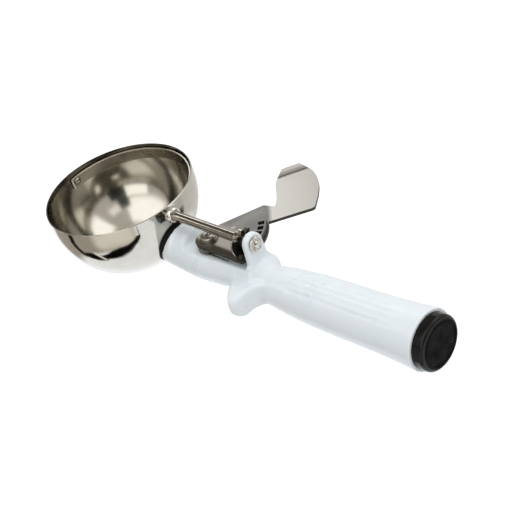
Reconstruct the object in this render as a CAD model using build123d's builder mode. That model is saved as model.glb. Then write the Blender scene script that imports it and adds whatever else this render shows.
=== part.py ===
from build123d import *
import math
import os

# Lever ice cream scoop with a sweeping scraper, in millimetres.
# The origin is the centre of the bowl's sphere, which lies on the scraper's axis.
# +X runs along the handle to its butt, +Z out of the bowl's mouth, +Y to the thumb lever.

# Fits
running_clearance = 0.06
side_clearance = 0.15
bore_allowance = 0.05

# Bowl, 76 mm across inside
bowl_inner_radius = 38.0
bowl_wall = 0.8
rim_height = 5.8
rim_rounding = 0.3

# Scraper blade, a strip bent to the bowl and pivoted at both ends
blade_gap = 0.4
blade_thickness = 0.6
blade_width = 6.4
blade_end_overhang = 3.4
blade_end_rounding = 0.8
blade_parked_angle = 1.5

# Front pivot of the blade
front_rivet_radius = 1.5
front_rivet_head_radius = 3.2
front_rivet_head_height = 1.5
front_rivet_inner_head_radius = 2.7
front_rivet_inner_head_height = 0.8
front_rivet_inner_gap = 0.25

# Scraper shaft
shaft_radius = 2.5
shaft_tenon_radius = 1.6
shaft_peen_radius = 2.6
shaft_peen_height = 0.7
shaft_journal_radius = 2.0
front_bush_wall = 0.9
front_bush_flange_radius = 4.4
front_bush_flange_thickness = 1.4
front_bush_length = 3.2

# Gearing between lever and scraper: a pierced crown rack of 44 places drives 8 teeth
gear_module = 1.2
pinion_places = 8
crown_places = 44
tooth_half_width = 1.0
tooth_tip_half_width = 0.6
tooth_height_above_pitch = 1.2
tooth_depth_below_pitch = 1.5
pinion_thickness = 2.0
pinion_hub_radius = 4.0
pinion_hub_length = 2.9
pinion_pin_radius = 0.75
rack_bar_width = 1.2
rack_slot_clearance = 0.5
rack_slots_before_rest = 1
rack_slots_after_rest = 5
rack_rim = 1.0
rack_end_angle = 1.0
pinion_washer_radius = 3.6
guard_radius = 8.6
guard_thickness = 0.8
guard_start_angle = 150.0
guard_end_angle = 215.0

# Thumb lever
lever_pivot_x = 61.9
lever_top_z = -7.2
lever_thickness = 1.6
sector_outer_radius = 29.4
sector_near_angle = -13.5
sector_far_angle = 47.0
pivot_end_radius = 7.0
shoulder_front = (8.3, 30.6)
shoulder_rear = (14.6, 32.1)
tab_neck_front = (14.5, 32.2)
tab_neck_rear = (21.0, 22.8)
tab_front_hollow = (6.2, 42.2)
tab_front_cheek = (0.0, 50.4)
tab_end = (-0.4, 57.6)
tab_end_corner = (6.0, 63.4)
tab_crown = (15.8, 61.4)
tab_rear_cheek = (27.0, 51.2)
tab_rear_corner = (34.5, 39.3)
tab_corner_rounding = 2.0
tab_curl_start = (5.5, 56.3)
tab_curl_direction = 54.0
tab_curl_radius = 6.0
tab_curl_angle = 50.0
tab_blank_length = 45.0
tab_blank_height = 14.0

# Lever pivot
pivot_pin_radius = 2.0
pivot_pin_head_radius = 4.2
pivot_pin_head_height = 1.5
pivot_pin_dimple_radius = 1.5
pivot_pin_dimple_depth = 1.0
pivot_depth_below_pocket = 2.0
pivot_bush_radius = 3.5
lever_washer_radius = 4.6
lever_washer_thickness = 0.5

# Return spring
spring_wire_radius = 0.5
spring_mean_radius = 4.8
spring_whole_turns = 2
spring_pitch = 1.15
spring_pocket_radius = 6.6
spring_pocket_depth = 1.6
spring_fixed_leg_length = 16.0
spring_leg_beyond_post = 2.0
spring_post_radius = 1.2
spring_post_length = 2.2
spring_post_distance = 12.5
spring_post_angle = 62.0

# Lever stop
stop_pin_radius = 1.2
stop_pin_depth = 3.5
stop_pin_rise_over_lever = 0.6
stop_pin_gap = 0.12
stop_pin_along_edge = 2.0

# Handle: neck, mechanism housing, waist and grip. The grip's axis leans by a degree and a half
neck_axis_z = -17.8
neck_lip_radius = 11.7
neck_lip_rear_x = 41.0
neck_lip_length = 14.0
neck_radius = 11.0
housing_axis_z = -19.7
housing_front_x = 50.0
housing_front_radius = 12.0
housing_widest_x = 57.0
housing_widest_radius = 12.2
housing_narrow_x = 76.0
housing_narrow_radius = 10.9
housing_rear_x = 94.6
housing_rear_radius = 11.1
waist_x = 100.5
waist_radius = 4.4
shoulder_x = 92.0
shoulder_axis_z = -23.4
shoulder_radius = 6.9
grip_radii = ((5.6, 8.7), (15.0, 10.3), (27.0, 11.5), (48.0, 12.4), (73.0, 12.8))
butt_x = 190.3
butt_axis_z = -21.0
butt_radius = 14.2
deck_z = -12.0
deck_front_x = 50.0
deck_ramp_length = 6.0
platform_z = -10.4
platform_rear_x = 108.0
stem_radius = 3.5
hollow_front_x = 130.0
hollow_radius = 9.0

# Grip grooves, measured along the grip's axis from its shoulder
groove_width = 1.3
groove_depth = 0.45
groove_start = 17.0
groove_start_radius = 10.8
groove_end = 93.0
groove_end_radius = 13.9
groove_count = 7
groove_spacing_angle = 13.3

# Boss that carries the shaft's rear end
boss_front_x = 91.9
boss_rear_x = 95.3
boss_radius = 5.3
boss_side_half_width = 5.8
boss_foot_half_width = 7.2
boss_side_foot_z = -9.2
boss_edge_rounding = 0.5
rear_bush_wall = 1.1
rear_bush_flange_radius = 3.8
rear_bush_flange_thickness = 1.2
shaft_retainer_radius = 3.8
shaft_retainer_height = 2.3
shaft_retainer_wall = 0.8
shaft_retainer_tip_radius = 1.1

# Finger rest, a tongue that stands out of the handle on the side away from the thumb lever
rest_top_z = -15.4
rest_bottom_z = -28.4
rest_reach = 24.2
rest_front_root = (74.0, 4.0)
rest_front_foot = (80.0, 8.6)
rest_front_flank = (86.6, 15.4)
rest_front_cheek = (89.8, 20.8)
rest_nose_x = 93.8
rest_rear_cheek = (97.4, 21.0)
rest_rear_hollow = (97.8, 16.4)
rest_rear_foot = (99.2, 11.8)
rest_rear_root = (106.0, 7.5)
rest_edge_rounding = 2.0

# Bowl stem and its fastening inside the handle
stem_foot_radius = 8.0
stem_foot_thickness = 1.4
seal_thickness = 1.9
stem_nut_across_flats = 10.0
stem_nut_height = 5.0
stem_washer_radius = 8.0
stem_washer_thickness = 1.2
stem_end_beyond_nut = 1.8

# End cap
cap_radius = 12.7
cap_thickness = 5.5
cap_edge_rounding = 1.8
cap_groove_radius = 10.1
cap_groove_width = 0.6
cap_groove_depth = 0.4
cap_plug_length = 9.0
cap_plug_wall = 2.0
cap_rib_width = 1.2
cap_rib_height = 0.04

# Worked out from the values above
bowl_outer_radius = bowl_inner_radius + bowl_wall
blade_outer_radius = bowl_inner_radius - blade_gap
blade_inner_radius = blade_outer_radius - blade_thickness
seal_outer_sphere = bowl_outer_radius + seal_thickness
pinion_pitch_radius = gear_module * pinion_places / 2
crown_pitch_radius = gear_module * crown_places / 2
pinion_outer_radius = pinion_pitch_radius + tooth_height_above_pitch
pinion_mid_x = lever_pivot_x + crown_pitch_radius
pinion_front_x = pinion_mid_x - pinion_thickness / 2
pinion_rear_x = pinion_mid_x + pinion_thickness / 2
lever_bottom_z = lever_top_z - lever_thickness
rack_top_z = -pinion_pitch_radius
rack_pitch_angle = 360 / crown_places
slot_inner_radius = crown_pitch_radius - pinion_thickness / 2 - rack_slot_clearance
slot_outer_radius = crown_pitch_radius + pinion_thickness / 2 + rack_slot_clearance
pocket_floor_z = deck_z - spring_pocket_depth
seal_radius = neck_lip_radius - 0.2
seal_bore_radius = stem_foot_radius + 0.2

# Turns a sphere about Z so that its seam stays clear of everything on the X axis
seam_turn = (0, 0, 90)

os.makedirs("parts", exist_ok=True)


def across_x(x, z=0.0):
    """A plane square to X at x, with its own x along +Y and its own y along +Z."""
    return Plane(origin=(x, 0, z), x_dir=(0, 1, 0), z_dir=(1, 0, 0))


def from_pivot(point):
    """Plan position of a point that is given from the lever's pivot."""
    return (lever_pivot_x + point[0], point[1])


def polar(radius, angle):
    """Plan position at a radius and an angle in degrees about the lever's pivot."""
    turn = math.radians(angle)
    return (lever_pivot_x + radius * math.cos(turn), radius * math.sin(turn))


def finish(piece, name):
    """Label a finished piece and write it as its own file."""
    piece.part.label = name
    export_step(piece.part, f"parts/{name}.step")


# ---------------------------------------------------------------- outer form of the bowl, for what seats on it
with BuildPart() as bowl_form:
    Sphere(bowl_outer_radius, rotation=seam_turn)
    with BuildSketch(Plane.XY):
        Circle(bowl_outer_radius)
    extrude(amount=bowl_outer_radius)

# ---------------------------------------------------------------- bowl
front_bush_radius = shaft_radius + running_clearance + front_bush_wall

with BuildPart() as bowl:
    with BuildSketch(Plane.YZ):
        with BuildLine():
            Line((bowl_outer_radius, rim_height), (bowl_outer_radius, 0))
            RadiusArc((bowl_outer_radius, 0), (0, -bowl_outer_radius), bowl_outer_radius)
            Line((0, -bowl_outer_radius), (0, -bowl_inner_radius))
            RadiusArc((0, -bowl_inner_radius), (bowl_inner_radius, 0), -bowl_inner_radius)
            Line((bowl_inner_radius, 0), (bowl_inner_radius, rim_height))
            Line((bowl_inner_radius, rim_height), (bowl_outer_radius, rim_height))
        make_face()
    revolve(axis=Axis.Z)
    fillet(bowl.edges().group_by(Axis.Z)[-1], rim_rounding)
    with BuildSketch(across_x(0)):
        Circle(front_bush_radius)
    extrude(amount=bowl_outer_radius + 1, mode=Mode.SUBTRACT)
    with BuildSketch(across_x(0)):
        Circle(front_rivet_radius)
    extrude(amount=-bowl_outer_radius - 1, mode=Mode.SUBTRACT)
finish(bowl, "bowl")

# ---------------------------------------------------------------- scraper blade
blade_turn = math.radians(blade_parked_angle)
blade_plane = Plane(
    origin=(-bowl_outer_radius, 0, 0),
    x_dir=(0, math.cos(blade_turn), math.sin(blade_turn)),
    z_dir=(1, 0, 0),
)

with BuildPart() as scraper_blade:
    Sphere(blade_outer_radius, rotation=seam_turn)
    Sphere(blade_inner_radius, rotation=seam_turn, mode=Mode.SUBTRACT)
    with BuildSketch(blade_plane) as blade_outline:
        with Locations(((bowl_outer_radius - blade_end_overhang) / 2, 0)):
            Rectangle(bowl_outer_radius + blade_end_overhang, blade_width)
        fillet(blade_outline.vertices().group_by(Axis.X)[0], blade_end_rounding)
    extrude(amount=2 * bowl_outer_radius, mode=Mode.INTERSECT)
    with BuildSketch(across_x(0)):
        Circle(front_rivet_radius + running_clearance)
    extrude(amount=-bowl_outer_radius, mode=Mode.SUBTRACT)
    with BuildSketch(across_x(0)):
        Circle(shaft_tenon_radius)
    extrude(amount=bowl_outer_radius, mode=Mode.SUBTRACT)
finish(scraper_blade, "scraper_blade")

# ---------------------------------------------------------------- front pivot rivet
rivet_inner_face_x = -blade_inner_radius + front_rivet_inner_gap
rivet_inner_end_x = rivet_inner_face_x + front_rivet_inner_head_height
rivet_outer_end_x = -bowl_outer_radius - front_rivet_head_height

with BuildPart() as front_pivot_rivet:
    with BuildSketch(Plane.XZ):
        with BuildLine():
            Line((rivet_outer_end_x, 0), (rivet_outer_end_x, front_rivet_head_radius * 0.5))
            ThreePointArc(
                (rivet_outer_end_x, front_rivet_head_radius * 0.5),
                (rivet_outer_end_x + front_rivet_head_height * 0.35, front_rivet_head_radius * 0.86),
                (-bowl_outer_radius + 0.3, front_rivet_head_radius),
            )
            Line((-bowl_outer_radius + 0.3, front_rivet_head_radius), (-bowl_inner_radius, 0))
            Line((-bowl_inner_radius, 0), (rivet_outer_end_x, 0))
        make_face()
    revolve(axis=Axis.X)
    add(bowl_form.part, mode=Mode.SUBTRACT)
    with BuildSketch(across_x(-bowl_outer_radius - 0.3)):
        Circle(front_rivet_radius)
    extrude(amount=rivet_inner_end_x + bowl_outer_radius + 0.3)
    with BuildSketch(across_x(rivet_inner_face_x)):
        Circle(front_rivet_inner_head_radius)
    extrude(amount=front_rivet_inner_head_height)
finish(front_pivot_rivet, "front_pivot_rivet")

# ---------------------------------------------------------------- front shaft bush
front_bush_bore = shaft_radius + running_clearance
front_bush_inner_x = bowl_inner_radius - blade_gap / 4
front_bush_flange_x = bowl_outer_radius + front_bush_flange_thickness

with BuildPart() as front_shaft_bush:
    with BuildSketch(across_x(bowl_inner_radius / 2)):
        Circle(front_bush_flange_radius)
    extrude(amount=front_bush_flange_x - bowl_inner_radius / 2)
    add(bowl_form.part, mode=Mode.SUBTRACT)
    with BuildSketch(across_x(front_bush_inner_x)):
        Circle(front_bush_radius)
    extrude(amount=front_bush_length)
    with BuildSketch(across_x(0)):
        Circle(front_bush_bore)
    extrude(amount=2 * bowl_outer_radius, mode=Mode.SUBTRACT)
finish(front_shaft_bush, "front_shaft_bush")

# ---------------------------------------------------------------- scraper shaft
rear_bush_front_x = boss_front_x - rear_bush_flange_thickness
rear_bush_rear_x = boss_rear_x
shaft_shoulder_x = blade_outer_radius
shaft_end_x = rear_bush_rear_x + side_clearance + shaft_retainer_height - shaft_retainer_wall

with BuildPart() as scraper_shaft:
    with BuildSketch(across_x(blade_inner_radius - shaft_peen_height)):
        Circle(shaft_peen_radius)
    extrude(amount=shaft_peen_height)
    Sphere(blade_inner_radius - 0.02, rotation=seam_turn, mode=Mode.INTERSECT)
    with BuildSketch(across_x(blade_inner_radius - shaft_peen_height)):
        Circle(shaft_tenon_radius)
    extrude(amount=shaft_peen_height + blade_thickness)
    with BuildSketch(across_x(shaft_shoulder_x)):
        Circle(shaft_radius)
    extrude(amount=pinion_rear_x - shaft_shoulder_x)
    with BuildSketch(across_x(pinion_rear_x)):
        Circle(shaft_journal_radius)
    extrude(amount=shaft_end_x - pinion_rear_x)
    chamfer(scraper_shaft.edges().group_by(Axis.X)[-1], 0.3)
    with BuildSketch(Plane.XY.offset(-pinion_hub_radius - 1)):
        with Locations((pinion_front_x - pinion_hub_length / 2, 0)):
            Circle(pinion_pin_radius)
    extrude(amount=2 * pinion_hub_radius + 2, mode=Mode.SUBTRACT)
finish(scraper_shaft, "scraper_shaft")

# ---------------------------------------------------------------- pinion gear
place_angle = 360 / pinion_places
tooth_flare = (tooth_half_width - tooth_tip_half_width) / tooth_height_above_pitch
pinion_root_radius = pinion_pitch_radius - tooth_depth_below_pitch
tooth_root_half_width = tooth_half_width + tooth_flare * tooth_depth_below_pitch
tooth_inner_radius = pinion_root_radius - 0.6

with BuildPart() as pinion_gear:
    with BuildSketch(across_x(pinion_front_x)):
        Circle(pinion_root_radius)
        for tooth in range(pinion_places):
            turn = tooth * place_angle - 90
            with BuildLine(Plane.XY.rotated((0, 0, turn))):
                Polyline(
                    (tooth_inner_radius, -tooth_root_half_width),
                    (pinion_root_radius, -tooth_root_half_width),
                    (pinion_outer_radius - 0.3, -tooth_tip_half_width - 0.1),
                    (pinion_outer_radius, -tooth_tip_half_width + 0.3),
                    (pinion_outer_radius, tooth_tip_half_width - 0.3),
                    (pinion_outer_radius - 0.3, tooth_tip_half_width + 0.1),
                    (pinion_root_radius, tooth_root_half_width),
                    (tooth_inner_radius, tooth_root_half_width),
                    close=True,
                )
            make_face()
    extrude(amount=pinion_thickness)
    with BuildSketch(across_x(pinion_rear_x)):
        with BuildLine():
            guard_from = PolarLine((0, 0), guard_radius, guard_start_angle)
            guard_middle = PolarLine(
                (0, 0), guard_radius, (guard_start_angle + guard_end_angle) / 2, mode=Mode.PRIVATE
            )
            guard_to = PolarLine((0, 0), guard_radius, guard_end_angle)
            ThreePointArc(guard_from @ 1, guard_middle @ 1, guard_to @ 1)
        make_face()
    extrude(amount=-guard_thickness)
    with BuildSketch(across_x(pinion_front_x)):
        Circle(pinion_hub_radius)
    extrude(amount=-pinion_hub_length)
    chamfer(pinion_gear.edges().group_by(Axis.X)[0], 0.4)
    with BuildSketch(across_x(pinion_front_x - pinion_hub_length)):
        Circle(shaft_radius)
    extrude(amount=pinion_hub_length + pinion_thickness, mode=Mode.SUBTRACT)
    with BuildSketch(Plane.XY.offset(-pinion_hub_radius - 1)):
        with Locations((pinion_front_x - pinion_hub_length / 2, 0)):
            Circle(pinion_pin_radius)
    extrude(amount=2 * pinion_hub_radius + 2, mode=Mode.SUBTRACT)
finish(pinion_gear, "pinion_gear")

with BuildPart() as pinion_pin:
    with BuildSketch(Plane.XY.offset(-pinion_hub_radius)):
        with Locations((pinion_front_x - pinion_hub_length / 2, 0)):
            Circle(pinion_pin_radius)
    extrude(amount=2 * pinion_hub_radius)
finish(pinion_pin, "pinion_pin")

with BuildPart() as pinion_washer:
    with BuildSketch(across_x(pinion_rear_x)):
        Circle(pinion_washer_radius)
        Circle(shaft_journal_radius, mode=Mode.SUBTRACT)
    extrude(amount=rear_bush_front_x - side_clearance - pinion_rear_x)
finish(pinion_washer, "pinion_washer")

# ---------------------------------------------------------------- rear shaft bush and retainer
rear_bush_bore = shaft_journal_radius + running_clearance
rear_bush_radius = rear_bush_bore + rear_bush_wall

with BuildPart() as rear_shaft_bush:
    with BuildSketch(across_x(rear_bush_front_x)):
        Circle(rear_bush_flange_radius)
    extrude(amount=rear_bush_flange_thickness)
    with BuildSketch(across_x(rear_bush_front_x)):
        Circle(rear_bush_radius)
    extrude(amount=rear_bush_rear_x - rear_bush_front_x)
    with BuildSketch(across_x(rear_bush_front_x)):
        Circle(rear_bush_bore)
    extrude(amount=rear_bush_rear_x - rear_bush_front_x, mode=Mode.SUBTRACT)
finish(rear_shaft_bush, "rear_shaft_bush")

retainer_front_x = rear_bush_rear_x + side_clearance
retainer_rear_x = retainer_front_x + shaft_retainer_height

with BuildPart() as shaft_retainer:
    with BuildSketch(Plane.XZ):
        with BuildLine():
            Line((shaft_end_x, 0), (shaft_end_x, shaft_journal_radius))
            Line((shaft_end_x, shaft_journal_radius), (retainer_front_x, shaft_journal_radius))
            Line((retainer_front_x, shaft_journal_radius), (retainer_front_x, shaft_retainer_radius))
            Line((retainer_front_x, shaft_retainer_radius), (retainer_front_x + 0.6, shaft_retainer_radius))
            ThreePointArc(
                (retainer_front_x + 0.6, shaft_retainer_radius),
                (retainer_front_x + 1.6, shaft_retainer_radius * 0.7),
                (retainer_rear_x, shaft_retainer_tip_radius),
            )
            Line((retainer_rear_x, shaft_retainer_tip_radius), (retainer_rear_x, 0))
            Line((retainer_rear_x, 0), (shaft_end_x, 0))
        make_face()
    revolve(axis=Axis.X)
finish(shaft_retainer, "shaft_retainer")

# ---------------------------------------------------------------- thumb lever
curl = math.radians(tab_curl_direction)
curl_outward = (-math.sin(curl), math.cos(curl), 0)
curl_plane = Plane(
    origin=(*from_pivot(tab_curl_start), lever_bottom_z),
    x_dir=curl_outward,
    z_dir=(math.cos(curl), math.sin(curl), 0),
)
curl_turn = math.radians(tab_curl_angle)

with BuildPart() as thumb_tab:
    with BuildSketch(curl_plane):
        with BuildLine():
            inner_radius = tab_curl_radius
            outer_radius = tab_curl_radius + lever_thickness
            Line((-tab_blank_length, 0), (0, 0))
            RadiusArc(
                (0, 0),
                (outer_radius * math.sin(curl_turn), outer_radius * (1 - math.cos(curl_turn))),
                -outer_radius,
            )
            Line(
                (outer_radius * math.sin(curl_turn), outer_radius * (1 - math.cos(curl_turn))),
                (inner_radius * math.sin(curl_turn), outer_radius - inner_radius * math.cos(curl_turn)),
            )
            RadiusArc(
                (inner_radius * math.sin(curl_turn), outer_radius - inner_radius * math.cos(curl_turn)),
                (0, lever_thickness),
                inner_radius,
            )
            Line((0, lever_thickness), (-tab_blank_length, lever_thickness))
            Line((-tab_blank_length, lever_thickness), (-tab_blank_length, 0))
        make_face()
    extrude(amount=tab_blank_length, both=True)
    with BuildSketch(Plane.XY.offset(lever_bottom_z - lever_thickness)) as tab_outline:
        with BuildLine():
            front_edge = Spline(
                from_pivot(tab_neck_front),
                from_pivot(tab_front_hollow),
                from_pivot(tab_front_cheek),
                from_pivot(tab_end),
                from_pivot(tab_end_corner),
                from_pivot(tab_crown),
                from_pivot(tab_rear_cheek),
                from_pivot(tab_rear_corner),
            )
            Line(from_pivot(tab_rear_corner), from_pivot(tab_neck_rear))
            Line(from_pivot(tab_neck_rear), polar(slot_outer_radius, sector_far_angle))
            Line(polar(slot_outer_radius, sector_far_angle), from_pivot(tab_neck_front))
        make_face()
        rear_point = Vector(*from_pivot(tab_rear_corner))
        fillet(tab_outline.vertices().sort_by_distance(rear_point)[0], tab_corner_rounding)
    extrude(amount=tab_blank_height, mode=Mode.INTERSECT)

post_x, post_y = polar(spring_post_distance, spring_post_angle)

with BuildPart() as thumb_lever:
    with BuildSketch(Plane.XY.offset(lever_bottom_z)):
        with BuildLine():
            near_corner = polar(sector_outer_radius, sector_near_angle)
            far_corner = polar(sector_outer_radius, sector_far_angle)
            front_slope = math.degrees(math.atan2(shoulder_front[1], shoulder_front[0]))
            front_reach = math.hypot(*shoulder_front)
            front_lean = math.degrees(math.asin(pivot_end_radius / front_reach))
            front_tangent = polar(pivot_end_radius, front_slope - front_lean + 90)
            near_lean = math.degrees(math.asin(pivot_end_radius / sector_outer_radius))
            near_tangent = polar(pivot_end_radius, sector_near_angle + near_lean - 90)
            pivot_back = polar(pivot_end_radius, 180)
            Line(near_tangent, near_corner)
            ThreePointArc(
                near_corner,
                polar(sector_outer_radius, (sector_near_angle + sector_far_angle) / 2),
                far_corner,
            )
            Line(far_corner, from_pivot(shoulder_rear))
            Line(from_pivot(shoulder_rear), from_pivot(shoulder_front))
            Line(from_pivot(shoulder_front), front_tangent)
            ThreePointArc(front_tangent, pivot_back, near_tangent)
        make_face()
    extrude(amount=lever_thickness)
    add(thumb_tab.part)
    with BuildSketch(Plane.XY.offset(lever_bottom_z)):
        with BuildLine():
            rack_near = -(rack_slots_before_rest + 0.5) * rack_pitch_angle - rack_end_angle
            rack_far = (rack_slots_after_rest + 0.5) * rack_pitch_angle + rack_end_angle
            rack_inner = slot_inner_radius - rack_rim
            rack_outer = slot_outer_radius + rack_rim
            Line(polar(rack_inner, rack_near), polar(rack_outer, rack_near))
            ThreePointArc(
                polar(rack_outer, rack_near),
                polar(rack_outer, (rack_near + rack_far) / 2),
                polar(rack_outer, rack_far),
            )
            Line(polar(rack_outer, rack_far), polar(rack_inner, rack_far))
            ThreePointArc(
                polar(rack_inner, rack_far),
                polar(rack_inner, (rack_near + rack_far) / 2),
                polar(rack_inner, rack_near),
            )
        make_face()
    extrude(amount=rack_top_z - lever_bottom_z)
    with BuildSketch(Plane.XY.offset(lever_bottom_z)):
        with Locations((lever_pivot_x, 0)):
            Circle(pivot_pin_radius + running_clearance)
        with Locations((post_x, post_y)):
            Circle(spring_post_radius)
        for slot in range(-rack_slots_before_rest, rack_slots_after_rest + 1):
            slot_angle = slot * rack_pitch_angle
            bar_half_angle = math.degrees(rack_bar_width / 2 / crown_pitch_radius)
            start = slot_angle - rack_pitch_angle / 2 + bar_half_angle
            end = slot_angle + rack_pitch_angle / 2 - bar_half_angle
            with BuildLine():
                Line(polar(slot_inner_radius, start), polar(slot_outer_radius, start))
                ThreePointArc(
                    polar(slot_outer_radius, start),
                    polar(slot_outer_radius, slot_angle),
                    polar(slot_outer_radius, end),
                )
                Line(polar(slot_outer_radius, end), polar(slot_inner_radius, end))
                ThreePointArc(
                    polar(slot_inner_radius, end),
                    polar(slot_inner_radius, slot_angle),
                    polar(slot_inner_radius, start),
                )
            make_face()
    extrude(amount=rack_top_z - lever_bottom_z, mode=Mode.SUBTRACT)
finish(thumb_lever, "thumb_lever")

with BuildPart() as spring_post:
    with BuildSketch(Plane.XY.offset(lever_bottom_z - spring_post_length)):
        with Locations((post_x, post_y)):
            Circle(spring_post_radius)
    extrude(amount=spring_post_length + lever_thickness)
finish(spring_post, "spring_post")

# ---------------------------------------------------------------- lever pivot
pivot_bush_top_z = lever_bottom_z - side_clearance
pivot_bush_bottom_z = pocket_floor_z - pivot_depth_below_pocket
washer_bottom_z = lever_top_z + side_clearance
washer_top_z = washer_bottom_z + lever_washer_thickness
pin_bottom_z = pivot_bush_bottom_z

with BuildPart() as lever_pivot_bush:
    with BuildSketch(Plane.XY.offset(pivot_bush_bottom_z)):
        with Locations((lever_pivot_x, 0)):
            Circle(pivot_bush_radius)
            Circle(pivot_pin_radius, mode=Mode.SUBTRACT)
    extrude(amount=pivot_bush_top_z - pivot_bush_bottom_z)
finish(lever_pivot_bush, "lever_pivot_bush")

with BuildPart() as lever_washer:
    with BuildSketch(Plane.XY.offset(washer_bottom_z)):
        with Locations((lever_pivot_x, 0)):
            Circle(lever_washer_radius)
            Circle(pivot_pin_radius, mode=Mode.SUBTRACT)
    extrude(amount=lever_washer_thickness)
finish(lever_washer, "lever_washer")

with BuildPart() as lever_pivot_pin:
    with BuildSketch(Plane.XY.offset(pin_bottom_z)):
        with Locations((lever_pivot_x, 0)):
            Circle(pivot_pin_radius)
    extrude(amount=washer_top_z - pin_bottom_z)
    with BuildSketch(Plane.XY.offset(washer_top_z)):
        with Locations((lever_pivot_x, 0)):
            Circle(pivot_pin_head_radius)
    extrude(amount=pivot_pin_head_height)
    fillet(lever_pivot_pin.edges().group_by(Axis.Z)[-1], 0.9)
    with BuildSketch(Plane.XY.offset(washer_top_z + pivot_pin_head_height)):
        with Locations((lever_pivot_x, 0)):
            Circle(pivot_pin_dimple_radius)
    extrude(amount=-pivot_pin_dimple_depth, taper=30, mode=Mode.SUBTRACT)
finish(lever_pivot_pin, "lever_pivot_pin")

# ---------------------------------------------------------------- return spring
# A coil wound clockwise upwards. Its lower leg lies along the near wall of the recess,
# its upper leg bears on the post under the lever.
spring_start_z = pocket_floor_z + spring_wire_radius + side_clearance
leg_offset = spring_mean_radius + spring_wire_radius + spring_post_radius + bore_allowance
leg_lean = math.acos(leg_offset / spring_post_distance)
leg_turn = spring_post_angle + math.degrees(leg_lean)
moving_leg_length = spring_post_distance * math.sin(leg_lean) + spring_leg_beyond_post
spring_turns = spring_whole_turns + (270 - leg_turn) / 360
spring_height = spring_turns * spring_pitch

coil_place = Pos(lever_pivot_x, 0, spring_start_z) * Rot(0, 0, -90)
coil = coil_place * Helix(spring_pitch, spring_height, spring_mean_radius, lefthand=True)
coil_end_direction = ((coil % 1).X, (coil % 1).Y, 0)

with BuildPart() as return_spring:
    with BuildSketch(Plane(origin=coil @ 0, z_dir=coil % 0)):
        Circle(spring_wire_radius)
    sweep(path=coil, is_frenet=True)
    with BuildSketch(Plane(origin=coil @ 0, z_dir=(1, 0, 0)).offset(-spring_wire_radius)):
        Circle(spring_wire_radius)
    extrude(amount=spring_fixed_leg_length + spring_wire_radius)
    with BuildSketch(Plane(origin=coil @ 1, z_dir=coil_end_direction).offset(-spring_wire_radius)):
        Circle(spring_wire_radius)
    extrude(amount=moving_leg_length + spring_wire_radius)
finish(return_spring, "return_spring")

# ---------------------------------------------------------------- lever stop pin
stop_edge_direction = math.radians(front_slope - front_lean)
stop_distance = stop_pin_radius + stop_pin_gap
edge_start = polar(pivot_end_radius, front_slope - front_lean + 90)
stop_x = (
    edge_start[0]
    + stop_pin_along_edge * math.cos(stop_edge_direction)
    - stop_distance * math.sin(stop_edge_direction)
)
stop_y = (
    edge_start[1]
    + stop_pin_along_edge * math.sin(stop_edge_direction)
    + stop_distance * math.cos(stop_edge_direction)
)

with BuildPart() as lever_stop_pin:
    with BuildSketch(Plane.XY.offset(deck_z - stop_pin_depth)):
        with Locations((stop_x, stop_y)):
            Circle(stop_pin_radius)
    extrude(amount=stop_pin_depth + lever_top_z + stop_pin_rise_over_lever - deck_z)
    chamfer(lever_stop_pin.edges().group_by(Axis.Z)[-1], 0.3)
finish(lever_stop_pin, "lever_stop_pin")

# ---------------------------------------------------------------- bowl stem, seal, nut and washer
washer_front_x = hollow_front_x
stem_nut_front_x = washer_front_x + stem_washer_thickness
stem_end_x = stem_nut_front_x + stem_nut_height + stem_end_beyond_nut

with BuildPart() as bowl_stem:
    with BuildSketch(across_x(bowl_outer_radius / 3, neck_axis_z)):
        Circle(stem_foot_radius)
    extrude(amount=bowl_outer_radius)
    Sphere(bowl_outer_radius + stem_foot_thickness, rotation=seam_turn, mode=Mode.INTERSECT)
    with BuildSketch(across_x(bowl_outer_radius / 3, butt_axis_z)):
        Circle(stem_radius)
    extrude(amount=stem_end_x - bowl_outer_radius / 3)
    Sphere(bowl_outer_radius, rotation=seam_turn, mode=Mode.SUBTRACT)
    chamfer(bowl_stem.edges().group_by(Axis.X)[-1], 0.5)
finish(bowl_stem, "bowl_stem")

with BuildPart() as neck_seal:
    with BuildSketch(across_x(bowl_outer_radius / 3, neck_axis_z)):
        Circle(seal_radius)
        Circle(seal_bore_radius, mode=Mode.SUBTRACT)
    extrude(amount=bowl_outer_radius)
    Sphere(seal_outer_sphere, rotation=seam_turn, mode=Mode.INTERSECT)
    Sphere(bowl_outer_radius, rotation=seam_turn, mode=Mode.SUBTRACT)
finish(neck_seal, "neck_seal")

with BuildPart() as stem_washer:
    with BuildSketch(across_x(washer_front_x, butt_axis_z)):
        Circle(stem_washer_radius)
        Circle(stem_radius, mode=Mode.SUBTRACT)
    extrude(amount=stem_washer_thickness)
finish(stem_washer, "stem_washer")

with BuildPart() as stem_nut:
    with BuildSketch(across_x(stem_nut_front_x, butt_axis_z)):
        RegularPolygon(stem_nut_across_flats / 2, 6, major_radius=False)
        Circle(stem_radius, mode=Mode.SUBTRACT)
    extrude(amount=stem_nut_height)
finish(stem_nut, "stem_nut")

# ---------------------------------------------------------------- finger rest, a feature of the handle
rest_middle_z = (rest_top_z + rest_bottom_z) / 2
rest_half_height = (rest_top_z - rest_bottom_z) / 2


def near_side(point):
    """Plan position of a point given as x and as a reach towards the near side."""
    return (point[0], -point[1])


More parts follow.
